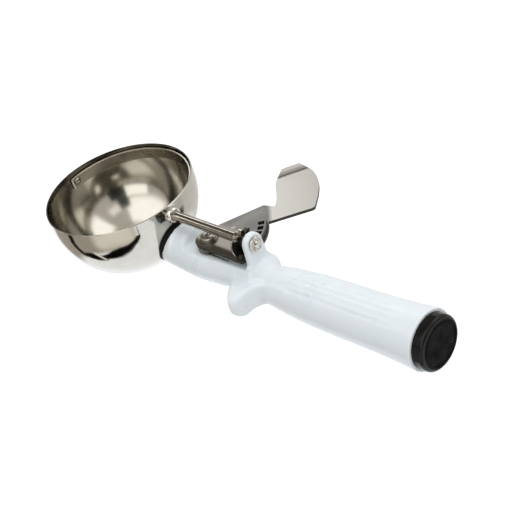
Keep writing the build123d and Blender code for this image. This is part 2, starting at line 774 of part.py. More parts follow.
with BuildPart() as finger_rest:
    with BuildSketch(Plane.XY.offset(rest_bottom_z)):
        with BuildLine():
            Line(near_side(rest_front_root), near_side(rest_front_foot))
            Spline(
                near_side(rest_front_foot),
                near_side(rest_front_flank),
                near_side(rest_front_cheek),
                (rest_nose_x, -rest_reach),
                near_side(rest_rear_cheek),
                near_side(rest_rear_hollow),
                near_side(rest_rear_foot),
                near_side(rest_rear_root),
            )
            Line(near_side(rest_rear_root), near_side(rest_front_root))
        make_face()
    extrude(amount=2 * rest_half_height)
    with BuildSketch(across_x(rest_front_root[0], rest_middle_z)):
        with Locations((rest_half_height - rest_reach, 0)):
            Circle(rest_half_height)
        with Locations(((rest_half_height - rest_reach) / 2, 0)):
            Rectangle(rest_reach - rest_half_height, 2 * rest_half_height)
    extrude(amount=rest_rear_root[0] - rest_front_root[0], mode=Mode.INTERSECT)
    rest_edges = finger_rest.edges().filter_by(lambda edge: edge.center().Y < -rest_front_foot[1] - 1)
    fillet(rest_edges, rest_edge_rounding)

# ---------------------------------------------------------------- grip, leaning about its own axis
lean_plane = Plane(
    origin=(shoulder_x, 0, shoulder_axis_z),
    x_dir=(butt_x - shoulder_x, 0, butt_axis_z - shoulder_axis_z),
    z_dir=(0, -1, 0),
)
grip_length = math.hypot(butt_x - shoulder_x, butt_axis_z - shoulder_axis_z)
grip_axis = Axis(lean_plane.origin, lean_plane.x_dir)
across_grip = Plane(origin=lean_plane.origin, x_dir=(0, 1, 0), z_dir=lean_plane.x_dir)

with BuildPart() as grip:
    with BuildSketch(lean_plane):
        with BuildLine():
            grip_line = Spline((0, shoulder_radius), *grip_radii, (grip_length, butt_radius))
            Line((grip_length, butt_radius), (grip_length + 1, butt_radius))
            Line((grip_length + 1, butt_radius), (grip_length + 1, 0))
            Line((grip_length + 1, 0), (0, 0))
            Line((0, 0), (0, shoulder_radius))
        make_face()
    revolve(axis=grip_axis)

with BuildPart() as grooves:
    with BuildSketch(lean_plane):
        with BuildLine():
            groove_line = Spline(
                (groove_start, groove_start_radius),
                *[(along, radius - groove_depth) for along, radius in grip_radii[2:]],
                (groove_end, groove_end_radius),
            )
            Line(groove_line @ 1, (groove_end, butt_radius + 2))
            Line((groove_end, butt_radius + 2), (groove_start, butt_radius + 2))
            Line((groove_start, butt_radius + 2), groove_line @ 0)
        make_face()
    revolve(axis=grip_axis)
    with BuildSketch(across_grip.offset(groove_start)):
        for groove in range(groove_count):
            turn = 90 + (groove - (groove_count - 1) / 2) * groove_spacing_angle
            with PolarLocations(butt_radius, 1, start_angle=turn):
                Rectangle(butt_radius, groove_width)
    extrude(amount=groove_end - groove_start, mode=Mode.INTERSECT)

# ---------------------------------------------------------------- boss for the shaft's rear end
with BuildPart() as boss:
    with BuildSketch(across_x(boss_front_x)):
        Circle(boss_radius)
        with BuildLine():
            Polyline(
                (-boss_radius, 0),
                (boss_radius, 0),
                (boss_side_half_width, boss_side_foot_z),
                (boss_foot_half_width, platform_z),
                (boss_foot_half_width, deck_z - boss_edge_rounding),
                (-boss_foot_half_width, deck_z - boss_edge_rounding),
                (-boss_foot_half_width, platform_z),
                (-boss_side_half_width, boss_side_foot_z),
                close=True,
            )
        make_face()
    extrude(amount=boss_rear_x - boss_front_x)
    fillet(boss.edges().group_by(Axis.X)[0] + boss.edges().group_by(Axis.X)[-1], boss_edge_rounding)

# ---------------------------------------------------------------- handle
housing_axis = Axis((0, 0, housing_axis_z), (1, 0, 0))

with BuildPart() as handle:
    with BuildSketch(Plane.XZ):
        with BuildLine():
            Line((housing_front_x, housing_axis_z), (housing_front_x, housing_axis_z + housing_front_radius))
            Spline(
                (housing_front_x, housing_axis_z + housing_front_radius),
                (housing_widest_x, housing_axis_z + housing_widest_radius),
                (housing_narrow_x, housing_axis_z + housing_narrow_radius),
                (housing_rear_x, housing_axis_z + housing_rear_radius),
            )
            Line(
                (housing_rear_x, housing_axis_z + housing_rear_radius),
                (waist_x, housing_axis_z + waist_radius),
            )
            Line((waist_x, housing_axis_z + waist_radius), (waist_x, housing_axis_z))
            Line((waist_x, housing_axis_z), (housing_front_x, housing_axis_z))
        make_face()
    revolve(axis=housing_axis)
    with BuildSketch(across_x(housing_front_x, housing_axis_z)):
        Circle(housing_front_radius)
    with BuildSketch(across_x(neck_lip_rear_x - neck_lip_length, neck_axis_z)):
        Circle(neck_radius)
    loft()
    with BuildSketch(across_x(neck_lip_rear_x - neck_lip_length, neck_axis_z)):
        Circle(neck_lip_radius)
    extrude(amount=neck_lip_length)
    add(grip.part)
    add(finger_rest.part)
    with BuildSketch(Plane.XZ):
        with BuildLine():
            Polyline(
                (deck_front_x - deck_ramp_length, 0),
                (deck_front_x, deck_z),
                (boss_front_x, deck_z),
                (boss_front_x, platform_z),
                (platform_rear_x, platform_z),
                (platform_rear_x, 0),
                close=True,
            )
        make_face()
    extrude(amount=2 * housing_widest_radius, both=True, mode=Mode.SUBTRACT)
    add(boss.part)
    add(grooves.part, mode=Mode.SUBTRACT)
    Sphere(seal_outer_sphere, rotation=seam_turn, mode=Mode.SUBTRACT)
    with BuildSketch(Plane.XY.offset(deck_z)):
        with Locations((lever_pivot_x, 0)):
            Circle(spring_pocket_radius)
    extrude(amount=-spring_pocket_depth, mode=Mode.SUBTRACT)
    with BuildSketch(Plane.XY.offset(deck_z)):
        with Locations((lever_pivot_x, 0)):
            Circle(pivot_bush_radius)
    extrude(amount=pivot_bush_bottom_z - deck_z, mode=Mode.SUBTRACT)
    with BuildSketch(Plane.XY.offset(deck_z)):
        with Locations((stop_x, stop_y)):
            Circle(stop_pin_radius)
    extrude(amount=-stop_pin_depth, mode=Mode.SUBTRACT)
    with BuildSketch(Plane.XY.offset(deck_z)):
        with Locations((lever_pivot_x + spring_fixed_leg_length / 2, -spring_mean_radius)):
            Rectangle(spring_fixed_leg_length + 1, 2 * spring_wire_radius + 0.3)
    extrude(amount=-spring_pocket_depth, mode=Mode.SUBTRACT)
    with BuildSketch(across_x(0)):
        Circle(rear_bush_radius)
    extrude(amount=platform_rear_x, mode=Mode.SUBTRACT)
    with BuildSketch(across_x(0, butt_axis_z)):
        Circle(stem_radius + bore_allowance)
    extrude(amount=butt_x, mode=Mode.SUBTRACT)
    with BuildSketch(across_x(hollow_front_x, butt_axis_z)):
        Circle(hollow_radius)
    extrude(amount=butt_x - hollow_front_x, mode=Mode.SUBTRACT)
    with BuildSketch(across_x(butt_x, butt_axis_z)):
        Circle(2 * butt_radius)
    extrude(amount=2 * cap_thickness, mode=Mode.SUBTRACT)
finish(handle, "handle")

# ---------------------------------------------------------------- end cap
with BuildPart() as end_cap:
    with BuildSketch(across_x(butt_x, butt_axis_z)):
        Circle(cap_radius)
    extrude(amount=cap_thickness)
    fillet(end_cap.edges().group_by(Axis.X)[-1], cap_edge_rounding)
    with BuildSketch(across_x(butt_x + cap_thickness, butt_axis_z)):
        Circle(cap_groove_radius)
        Circle(cap_groove_radius - cap_groove_width, mode=Mode.SUBTRACT)
    extrude(amount=-cap_groove_depth, mode=Mode.SUBTRACT)
    with BuildSketch(across_x(butt_x, butt_axis_z)):
        Circle(hollow_radius - bore_allowance)
        Circle(hollow_radius - cap_plug_wall, mode=Mode.SUBTRACT)
    extrude(amount=-cap_plug_length)
    with BuildSketch(across_x(butt_x - cap_plug_length / 2, butt_axis_z)):
        Circle(hollow_radius - bore_allowance + cap_rib_height)
        Circle(hollow_radius - cap_plug_wall, mode=Mode.SUBTRACT)
    extrude(amount=cap_rib_width)
finish(end_cap, "end_cap")
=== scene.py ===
import math

import bmesh
import bpy
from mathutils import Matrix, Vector


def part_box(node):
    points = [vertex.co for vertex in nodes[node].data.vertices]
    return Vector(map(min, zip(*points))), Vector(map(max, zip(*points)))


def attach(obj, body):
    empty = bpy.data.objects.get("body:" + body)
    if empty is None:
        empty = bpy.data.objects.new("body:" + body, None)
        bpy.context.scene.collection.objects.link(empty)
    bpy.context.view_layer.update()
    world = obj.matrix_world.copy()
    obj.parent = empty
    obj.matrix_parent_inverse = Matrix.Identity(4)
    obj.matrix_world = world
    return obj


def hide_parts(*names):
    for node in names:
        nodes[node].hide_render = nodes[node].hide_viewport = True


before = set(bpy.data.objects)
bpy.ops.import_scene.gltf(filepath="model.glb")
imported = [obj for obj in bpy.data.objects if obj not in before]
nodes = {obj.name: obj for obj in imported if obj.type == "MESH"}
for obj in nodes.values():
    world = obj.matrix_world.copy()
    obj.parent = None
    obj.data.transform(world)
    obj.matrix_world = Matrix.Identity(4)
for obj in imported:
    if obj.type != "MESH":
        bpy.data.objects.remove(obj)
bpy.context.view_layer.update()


# ------------------------------------------------------------------ small helpers
def linear(hex_colour):
    """An sRGB hex colour as linear RGBA."""
    channels = [int(hex_colour[i : i + 2], 16) / 255 for i in (1, 3, 5)]
    return [c / 12.92 if c <= 0.04045 else ((c + 0.055) / 1.055) ** 2.4 for c in channels] + [1.0]


def add(tree, kind, settings=None, inputs=None):
    """Adds a node with its settings, and with its inputs given as values or as other nodes' outputs."""
    node = tree.nodes.new(kind)
    for name, value in (settings or {}).items():
        setattr(node, name, value)
    for name, value in (inputs or {}).items():
        if isinstance(value, bpy.types.NodeSocket):
            tree.links.new(value, node.inputs[name])
        else:
            node.inputs[name].default_value = value
    return node


def eased(share):
    """0 to 1 with a soft start and end."""
    share = min(max(share, 0.0), 1.0)
    return share * share * (3 - 2 * share)


# A Mix node's colour sockets share their names with its number sockets, so they go by place
COLOUR_A, COLOUR_B, COLOUR_RESULT = 6, 7, 2
# Nearly all of a noise texture's values lie in this span
NOISE_SPAN = {"From Min": 0.3, "From Max": 0.7}


def start_material(name, colour, **shader_values):
    """A material with a Principled shader; returns it, its tree, its shader and the object coordinates."""
    material = bpy.data.materials.new(name)
    material.use_nodes = True
    tree = material.node_tree
    shader = tree.nodes["Principled BSDF"]
    shader.inputs["Base Color"].default_value = linear(colour)
    for socket, value in shader_values.items():
        shader.inputs[socket.replace("_", " ")].default_value = value
    place = add(tree, "ShaderNodeTexCoord").outputs["Object"]
    return material, tree, shader, place


def grain(tree, place, size_in_mm, turn=(0, 0, 0), detail=3.0):
    """Noise whose patches have the given sizes along x, y and z, in millimetres."""
    per_metre = tuple(1000 / size for size in size_in_mm)
    rotated = add(tree, "ShaderNodeMapping", inputs={"Vector": place, "Rotation": turn}).outputs[0]
    sized = add(tree, "ShaderNodeMapping", inputs={"Vector": rotated, "Scale": per_metre}).outputs[0]
    noise = add(tree, "ShaderNodeTexNoise", inputs={"Vector": sized, "Scale": 1.0, "Detail": detail})
    return noise.outputs["Fac"]


def dress(tree, shader, haze, roughness, colours, relief, relief_strength, relief_depth_mm=0.1):
    """Lets the haze pattern vary gloss and colour between two values, and the relief raise the surface."""
    haze_span = {"Value": haze, **NOISE_SPAN}
    gloss_span = {**haze_span, "To Min": roughness[0], "To Max": roughness[1]}
    gloss = add(tree, "ShaderNodeMapRange", inputs=gloss_span)
    share = add(tree, "ShaderNodeMapRange", inputs=haze_span).outputs["Result"]
    shades = {"Factor": share, COLOUR_A: linear(colours[0]), COLOUR_B: linear(colours[1])}
    colour = add(tree, "ShaderNodeMix", {"data_type": "RGBA"}, shades)
    raised = {"Strength": relief_strength, "Distance": relief_depth_mm / 1000, "Height": relief}
    bump = add(tree, "ShaderNodeBump", inputs=raised)
    tree.links.new(gloss.outputs["Result"], shader.inputs["Roughness"])
    tree.links.new(colour.outputs[COLOUR_RESULT], shader.inputs["Base Color"])
    tree.links.new(bump.outputs[0], shader.inputs["Normal"])
    return gloss.outputs["Result"]


def tint(tree, shader, share, hex_colour):
    """Gives the shader another colour where the share is 1."""
    first = shader.inputs["Base Color"].links[0].from_socket
    shades = {"Factor": share, COLOUR_A: first, COLOUR_B: linear(hex_colour)}
    colour = add(tree, "ShaderNodeMix", {"data_type": "RGBA"}, shades)
    tree.links.new(colour.outputs[COLOUR_RESULT], shader.inputs["Base Color"])


def two_tone(tree, shader, share, hex_colour, roughness):
    """Gives the shader another colour and another roughness where the share is 1."""
    tint(tree, shader, share, hex_colour)
    first = shader.inputs["Roughness"].links[0].from_socket
    finish = add(tree, "ShaderNodeMapRange", inputs={"Value": share, "To Min": first, "To Max": roughness})
    tree.links.new(finish.outputs["Result"], shader.inputs["Roughness"])


def facing(tree, axis, start, full):
    """A share by how squarely the surface faces along the axis, either way: 0 at start and 1 at full."""
    normal = add(tree, "ShaderNodeTexCoord").outputs["Normal"]
    part = add(tree, "ShaderNodeSeparateXYZ", inputs={0: normal}).outputs[axis]
    size = add(tree, "ShaderNodeMath", {"operation": "ABSOLUTE"}, {0: part}).outputs[0]
    share = add(tree, "ShaderNodeMapRange", inputs={"Value": size, "From Min": start, "From Max": full})
    return share.outputs["Result"]


# ------------------------------------------------------------------ materials
# The bowl's wall from outside to inside, as a distance from its centre, and how much hazier the inside is
BOWL_WALL = {"From Min": 0.0386, "From Max": 0.0382}
INSIDE_HAZE = 0.07
# Painted shade darkens the inside wall above the parked blade: the heights between which the dark band
# starts, and its share of the dark colour
SHADE_BAND_START = {"From Min": 0.0026, "From Max": 0.0034}
SHADE_BAND_SHARE = 0.92
# A darker patch on the upper part of the bowl's inside front wall: axis, where it starts, where it is full
FRONT_PATCH = (("X", -0.033, -0.0355), ("Y", 0.007, 0.002), ("Z", -0.015, -0.012))
FRONT_PATCH_SHARE = 0.65


def darkened_inside(tree, place):
    """The share of darkening inside the bowl: painted shade in a band above the parked blade, and a darker
    patch on the front wall.
    """
    parts = add(tree, "ShaderNodeSeparateXYZ", inputs={0: place}).outputs
    band = {"Value": parts["Z"], **SHADE_BAND_START, "To Max": SHADE_BAND_SHARE}
    band_shade = add(tree, "ShaderNodeMapRange", inputs=band).outputs["Result"]
    patch_share = FRONT_PATCH_SHARE
    for axis, start, full in FRONT_PATCH:
        span = {"Value": parts[axis], "From Min": start, "From Max": full}
        near = add(tree, "ShaderNodeMapRange", inputs=span)
        both = {0: patch_share, 1: near.outputs["Result"]}
        patch_share = add(tree, "ShaderNodeMath", {"operation": "MULTIPLY"}, both).outputs[0]
    darkest = add(tree, "ShaderNodeMath", {"operation": "MAXIMUM"}, {0: band_shade, 1: patch_share}).outputs[0]
    flat = add(tree, "ShaderNodeVectorMath", {"operation": "MULTIPLY"}, {0: place, 1: (1, 1, 0)})
    across = add(tree, "ShaderNodeVectorMath", {"operation": "LENGTH"}, {0: flat.outputs["Vector"]})
    inside = add(tree, "ShaderNodeMapRange", inputs={"Value": across.outputs["Value"], **BOWL_WALL})
    both = {0: darkest, 1: inside.outputs["Result"]}
    return add(tree, "ShaderNodeMath", {"operation": "MULTIPLY"}, both).outputs[0]


def polished_steel():
    """18/8 stainless sheet, spun to a hemisphere and buffed. The blade's sweep keeps the inside hazier."""
    material, tree, shader, place = start_material("buffed_stainless", "#c4c0b6", Metallic=1.0)
    # Spinning leaves rings about half a millimetre apart
    rings = grain(tree, place, (40, 40, 0.5), detail=2.0)
    haze = grain(tree, place, (9, 9, 6), detail=4.0)
    gloss = dress(tree, shader, haze, (0.05, 0.09), ("#c0bcb2", "#c8c4bb"), rings, 0.03)
    radius = add(tree, "ShaderNodeVectorMath", {"operation": "LENGTH"}, {0: place}).outputs["Value"]
    swept = add(tree, "ShaderNodeMapRange", inputs={"Value": radius, **BOWL_WALL, "To Max": INSIDE_HAZE})
    both = add(tree, "ShaderNodeMath", {"operation": "ADD"}, {0: gloss, 1: swept.outputs["Result"]})
    tree.links.new(both.outputs[0], shader.inputs["Roughness"])
    # Painted shade in a band above the parked blade, and a darker patch on the front wall, both inside the
    # bowl
    tint(tree, shader, darkened_inside(tree, place), "#3d382f")
    return material


def drawn_steel():
    """Drawn stainless rod. The die leaves lines along X."""
    material, tree, shader, place = start_material("bright_drawn_stainless", "#b4b0a9", Metallic=1.0)
    # Die lines are narrower than 0.1 mm, and are drawn wide enough to show
    lines = grain(tree, place, (25, 0.3, 0.3), detail=2.0)
    haze = grain(tree, place, (5, 5, 5))
    dress(tree, shader, haze, (0.08, 0.16), ("#aeaaa3", "#bab6af"), lines, 0.06)
    return material


# The parked blade leans over the rim's plane by this slope, and is this wide from middle line to edge.
# It ends at this Y, and carries a painted highlight this far in from its top edge and its end.
BLADE_LEAN = math.tan(math.radians(1.5))
BLADE_HALF = 0.0032
BLADE_END_Y = -0.0033
EDGE_HIGHLIGHT_BAND = 0.0009


def scraper_steel():
    """Cold-rolled stainless strip, coloured darker than the bowl as painted shade, with a painted highlight
    along its top edge and its end.
    """
    # Painted shade: the strip's steel colours are darker than the bowl's, for the dark band along its face
    material, tree, shader, place = start_material("rolled_stainless_strip", "#8f897e", Metallic=1.0)
    # Roll lines are narrower than 0.1 mm, and are drawn wide enough to show
    lines = grain(tree, place, (0.4, 12, 12), detail=2.0)
    haze = grain(tree, place, (5, 5, 5))
    dress(tree, shader, haze, (0.22, 0.3), ("#7f796e", "#989287"), lines, 0.05)
    # Painted highlight: a bright band along the top edge and the end
    parts = add(tree, "ShaderNodeSeparateXYZ", inputs={0: place}).outputs
    lean = add(tree, "ShaderNodeMath", {"operation": "MULTIPLY"}, {0: parts["Y"], 1: BLADE_LEAN}).outputs[0]
    height = add(tree, "ShaderNodeMath", {"operation": "SUBTRACT"}, {0: parts["Z"], 1: lean}).outputs[0]
    upper = {"Value": height, "From Min": BLADE_HALF - EDGE_HIGHLIGHT_BAND, "From Max": BLADE_HALF - EDGE_HIGHLIGHT_BAND / 2}
    upper_edge = add(tree, "ShaderNodeMapRange", inputs=upper).outputs["Result"]
    end = {"Value": parts["Y"], "From Min": BLADE_END_Y + EDGE_HIGHLIGHT_BAND, "From Max": BLADE_END_Y + EDGE_HIGHLIGHT_BAND / 2}
    end_edge = add(tree, "ShaderNodeMapRange", inputs=end).outputs["Result"]
    painted_highlight = add(tree, "ShaderNodeMath", {"operation": "MAXIMUM"}, {0: upper_edge, 1: end_edge}).outputs[0]
    two_tone(tree, shader, painted_highlight, "#f4f1ea", 0.35)
    return material


def turned_steel():
    """Free-cutting stainless, turned and polished in the lathe: smooth, with a soft gloss."""
    material, tree, shader, place = start_material("turned_stainless", "#dedbd5", Metallic=1.0)
    haze = grain(tree, place, (1.5, 1.5, 1.5))
    dress(tree, shader, haze, (0.14, 0.24), ("#d6d3cd", "#e4e1dc"), haze, 0.03)
    return material


# Painted shade darkens the gear's faces, by how squarely they face along the rod: where it starts, where it
# is full
SHADED_GEAR_FACES = (0.6, 0.8)


def gear_steel():
    """Hobbed stainless gear: bright steel on the teeth's tops, with painted shade on the faces that look
    along the rod.
    """
    material, tree, shader, place = start_material("hobbed_stainless_shaded_faces", "#c6c2b9", Metallic=1.0)
    grit = grain(tree, place, (0.6, 0.6, 0.6))
    oil = grain(tree, place, (2.5, 2.5, 2.5))
    dress(tree, shader, oil, (0.16, 0.26), ("#b5b1a8", "#d2cfc8"), grit, 0.04)
    # Painted shade on the faces that look along the rod
    two_tone(tree, shader, facing(tree, "X", *SHADED_GEAR_FACES), "#24221e", 0.42)
    return material


def cut_steel():
    """Turned and cut stainless, tumbled after machining: dull satin with small dents and dark stains."""
    material, tree, shader, place = start_material("tumbled_cut_stainless", "#a8a49c", Metallic=1.0)
    dents = grain(tree, place, (0.8, 0.8, 0.8), detail=3.0)
    stain = grain(tree, place, (3, 3, 3))
    dress(tree, shader, stain, (0.2, 0.36), ("#8a867f", "#bebab3"), dents, 0.12, 0.2)
    return material


# Painted highlights: the lever's tab and its pivot end are coloured lighter: direction, start, full, colour
LEVER_PAINTED_HIGHLIGHTS = (((1, 1, 0), 0.1035, 0.1065, "#cbc9c7"), ((0, 1, 0), 0.012, 0.007, "#95918b"))
# The brushing follows the lever, and painted shade darkens the surface where it no longer faces up or down
LEVER_GRAIN_TURN = (0, 0, math.radians(-62))
PAINTED_SHADE_SIDES = (0.75, 0.5)


def stamped_steel():
    """Stamped stainless sheet, brushed along the lever, with painted highlights on the tab and the pivot end
    and painted shade on the side faces.
    """
    material, tree, shader, place = start_material("brushed_stamped_stainless", "#d2cfcb", Metallic=1.0)
    # Brushing is narrower than 0.1 mm, and is drawn wide enough to show
    lines = grain(tree, place, (18, 0.28, 3), turn=LEVER_GRAIN_TURN, detail=2.0)
    cloud = grain(tree, place, (12, 7, 7), turn=LEVER_GRAIN_TURN)
    dress(tree, shader, cloud, (0.24, 0.32), ("#777675", "#7f7e7d"), lines, 0.05)
    # Painted highlights on the tab and the pivot end
    for direction, start, full, colour in LEVER_PAINTED_HIGHLIGHTS:
        dot = add(tree, "ShaderNodeVectorMath", {"operation": "DOT_PRODUCT"}, {0: place, 1: direction})
        reach = dot.outputs["Value"]
        painted_highlight = add(tree, "ShaderNodeMapRange", inputs={"Value": reach, "From Min": start, "From Max": full})
        two_tone(tree, shader, painted_highlight.outputs["Result"], colour, 0.28)
    # Painted shade on the side faces
    two_tone(tree, shader, facing(tree, "Z", *PAINTED_SHADE_SIDES), "#4a4640", 0.45)
    return material


def spring_wire():
    """Hard-drawn stainless spring wire, grey from the die's soap."""
    material, tree, shader, place = start_material("drawn_spring_wire", "#8d8b88", Metallic=1.0)
    soap = grain(tree, place, (1.5, 1.5, 0.6))
    dress(tree, shader, soap, (0.25, 0.4), ("#74726f", "#9b9995"), soap, 0.05)
    return material


def black_seal():
    """Matt black for the ring between the bowl and the neck, with a faint bloom."""
    material, tree, shader, place = start_material(
        "matt_black_seal", "#0b0b0b", IOR=1.52, Specular_IOR_Level=0.2
    )
    bloom = grain(tree, place, (4, 4, 4))
    dress(tree, shader, bloom, (0.5, 0.7), ("#080808", "#100f0f"), bloom, 0.05)
    return material


def handle_plastic():
    """Glossy white polypropylene, injection moulded: cool white, a little translucent, faint orange peel."""
    material, tree, shader, place = start_material(
        "moulded_white_polypropylene", "#dfe5e8", IOR=1.49, Subsurface_Weight=0.08, Subsurface_Scale=0.004
    )
    peel = grain(tree, place, (1.6, 1.6, 1.6), detail=2.0)
    handling = grain(tree, place, (16, 10, 10), detail=2.0)
    dress(tree, shader, handling, (0.26, 0.32), ("#dde4e8", "#e0e6e9"), peel, 0.05, 0.2)
    return material


def cap_plastic():
    """Black moulded polyethylene end cap: glossy, with the fine texture of a spark-eroded mould."""
    material, tree, shader, place = start_material(
        "moulded_black_polyethylene", "#141412", IOR=1.51, Specular_IOR_Level=0.2
    )
    # The mould's texture is about 0.1 mm, and is drawn coarse enough to show
    texture = grain(tree, place, (0.7, 0.7, 0.7), detail=2.0)
    wear = grain(tree, place, (5, 5, 5), detail=4.0)
    dress(tree, shader, wear, (0.16, 0.26), ("#121211", "#191917"), texture, 0.06)
    return material


white_handle = handle_plastic()
bright_steel = turned_steel()
FINISHES = (
    (polished_steel(), ("bowl",)),
    (scraper_steel(), ("scraper_blade",)),
    (drawn_steel(), ("scraper_shaft",)),
    (bright_steel, ("front_pivot_rivet", "front_shaft_bush", "rear_shaft_bush", "shaft_retainer")),
    (gear_steel(), ("pinion_gear", "pinion_washer")),
    (
        cut_steel(),
        (
            "pinion_pin", "spring_post", "lever_pivot_pin", "lever_pivot_bush", "lever_washer",
            "lever_stop_pin", "bowl_stem", "stem_washer", "stem_nut",
        ),
    ),
    (stamped_steel(), ("thumb_lever",)),
    (spring_wire(), ("return_spring",)),
    (black_seal(), ("neck_seal",)),
    (white_handle, ("handle",)),
    (cap_plastic(), ("end_cap",)),
)
for finish_material, names in FINISHES:
    for name in names:
        for material_slot in nodes[name].material_slots:
            material_slot.material = finish_material


# ------------------------------------------------------------------ pieces that replace nodes
def link(name, mesh, material):
    """A smooth piece with one material, standing where its mesh stands."""
    piece = bpy.data.objects.new(name, mesh)
    bpy.context.scene.collection.objects.link(piece)
    mesh.materials.clear()
    mesh.materials.append(material)
    mesh.polygons.foreach_set("use_smooth", [True] * len(mesh.polygons))
    return piece


def settle(piece):
    """Turns a piece's modifiers into its mesh."""
    graph = bpy.context.evaluated_depsgraph_get()
    mesh = bpy.data.meshes.new_from_object(piece.evaluated_get(graph))
    mesh.polygons.foreach_set("use_smooth", [True] * len(mesh.polygons))
    piece.modifiers.clear()
    piece.data = mesh


# The moulding's grid, and how often each vertex moves halfway to its neighbours' mean to round the edges
MOULD_GRID = 0.00055
MOULD_DRIFT = 0.5
EDGE_PASSES = 4
# The finger rest flows into the body with more such moves, which fade out at this reach from this line
FLOW_PASSES = 110
FLOW_REACH = 0.0105
FLOW_LINE = (Vector((0.0795, -0.0095, -0.0215)), Vector((0.1, -0.0095, -0.0215)))


def near_line(point, ends, reach):
    """1 on the line between two points, falling smoothly to 0 at the reach."""
    along = (point - ends[0]).dot(ends[1] - ends[0]) / (ends[1] - ends[0]).length_squared
    foot = ends[0].lerp(ends[1], min(max(along, 0.0), 1.0))
    return eased(1.0 - (point - foot).length / reach)


def moulded_handle():
    """The handle with a moulding's rounded edges, and with its finger rest flowing into the body."""
    mesh = nodes["handle"].data.copy()
    merged = bmesh.new()
    merged.from_mesh(mesh)
    bmesh.ops.remove_doubles(merged, verts=merged.verts, dist=1e-6)
    merged.to_mesh(mesh)
    merged.free()
    piece = link("moulded_handle", mesh, white_handle)
    grid = piece.modifiers.new("grid", "REMESH")
    grid.mode = "VOXEL"
    grid.voxel_size = MOULD_GRID
    settle(piece)
    flow = piece.vertex_groups.new(name="flow")
    for vertex in piece.data.vertices:
        weight = near_line(vertex.co, FLOW_LINE, FLOW_REACH)
        if weight:
            flow.add([vertex.index], weight, "REPLACE")
    for name, passes, group in (("edges", EDGE_PASSES, ""), ("rest", FLOW_PASSES, "flow")):
        smooth = piece.modifiers.new(name, "SMOOTH")
        smooth.factor = MOULD_DRIFT
        smooth.iterations = passes
        smooth.vertex_group = group
    settle(piece)
    return piece


def turned(name, node, outline, material, steps=64):
    """A piece turned about X from (x, radius) points in millimetres: from axis to axis, or a closed ring.

    Each x is counted from the front of the node that the piece stands for.
    """
    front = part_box(node)[0].x
    lathe = bmesh.new()
    points = [lathe.verts.new((front + x / 1000, 0, radius / 1000)) for x, radius in outline]
    edges = [lathe.edges.new(pair) for pair in zip(points, points[1:])]
    bmesh.ops.spin(
        lathe,
        geom=points + edges,
        axis=(1, 0, 0),
        cent=(0, 0, 0),
        angle=2 * math.pi,
        steps=steps,
        use_merge=True,
    )
    bmesh.ops.remove_doubles(lathe, verts=lathe.verts, dist=1e-6)
    bmesh.ops.recalc_face_normals(lathe, faces=lathe.faces)
    mesh = bpy.data.meshes.new(name)
    lathe.to_mesh(mesh)
    lathe.free()
    return link(name, mesh, material)


def bowed(start, end, bulge, count=6):
    """Points after start, up to end, on a curve that bulges by so much along +x, or along -x if negative."""
    points = []
    for i in range(1, count + 1):
        t = i / count
        lift = bulge * 4 * t * (1 - t)
        points.append((start[0] + (end[0] - start[0]) * t + lift, start[1] + (end[1] - start[1]) * t))
    return points


handle = moulded_handle()
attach(handle, "root")
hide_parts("handle")

# A rounded rim, a dished face, and the rod's peened end standing out of it
retainer = turned(
    "domed_retainer",
    "shaft_retainer",
    [
        (-0.05, 0), (-0.05, 3.6), (0.45, 3.8), (1.15, 3.7), (1.35, 3.3),
        (0.75, 3.0), (0.15, 2.9), (0.15, 2.3), (0.75, 2.3),
        *bowed((0.75, 2.25), (2.25, 0), 0.5),
    ],
    bright_steel,
)
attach(retainer, "scraper")
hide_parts("shaft_retainer")

# A domed head outside the bowl, a neck through its wall, and a peened end inside
front_rivet = turned(
    "domed_front_rivet",
    "front_pivot_rivet",
    [
        (0, 0),
        *bowed((0, 0.9), (1.55, 3.2), -0.25),
        (1.9, 3.0), (2.0, 1.5), (3.55, 1.5), (3.55, 1.9),
        *bowed((3.7, 1.9), (4.35, 0), 0.12),
    ],
    bright_steel,
)
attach(front_rivet, "root")
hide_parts("front_pivot_rivet")

# A rounded collar round the rod
collar = turned(
    "shaft_collar",
    "front_shaft_bush",
    [
        (0.1, 2.56), (0.55, 4.1), (1.1, 4.2), (1.7, 4.1), (2.5, 3.8),
        (3.0, 3.3), (3.2, 2.9), (3.1, 2.56), (0.1, 2.56),
    ],
    bright_steel,
)
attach(collar, "root")
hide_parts("front_shaft_bush")


# ------------------------------------------------------------------ floor and studio
def glow(name, colour, strength):
    """A light-giving material that thins out where the mesh's cover falls to 0."""
    material = bpy.data.materials.new(name)
    material.use_nodes = True
    tree = material.node_tree
    tree.nodes.remove(tree.nodes["Principled BSDF"])
    light = add(tree, "ShaderNodeEmission", inputs={"Color": linear(colour), "Strength": strength}).outputs[0]
    clear = add(tree, "ShaderNodeBsdfTransparent").outputs[0]
    cover = add(tree, "ShaderNodeAttribute", {"attribute_name": "cover"}).outputs["Fac"]
    veil = add(tree, "ShaderNodeMixShader", inputs={0: cover, 1: clear, 2: light})
    tree.links.new(veil.outputs[0], tree.nodes["Material Output"].inputs["Surface"])
    return material


def staged(name, points, faces, material):
    """A studio mesh, not part of the object."""
    mesh = bpy.data.meshes.new(name)
    mesh.from_pydata(points, [], faces)
    mesh.materials.append(material)
    thing = bpy.data.objects.new(name, mesh)
    bpy.context.scene.collection.objects.link(thing)
    return thing


FLOOR_HALF = 3.0
FLOOR_GLOW = 0.88
floor_material, _, floor_shader, _ = start_material("white_paper", "#8f8f8f", Roughness=0.9)
floor_shader.inputs["Emission Color"].default_value = linear("#ffffff")
floor_shader.inputs["Emission Strength"].default_value = FLOOR_GLOW

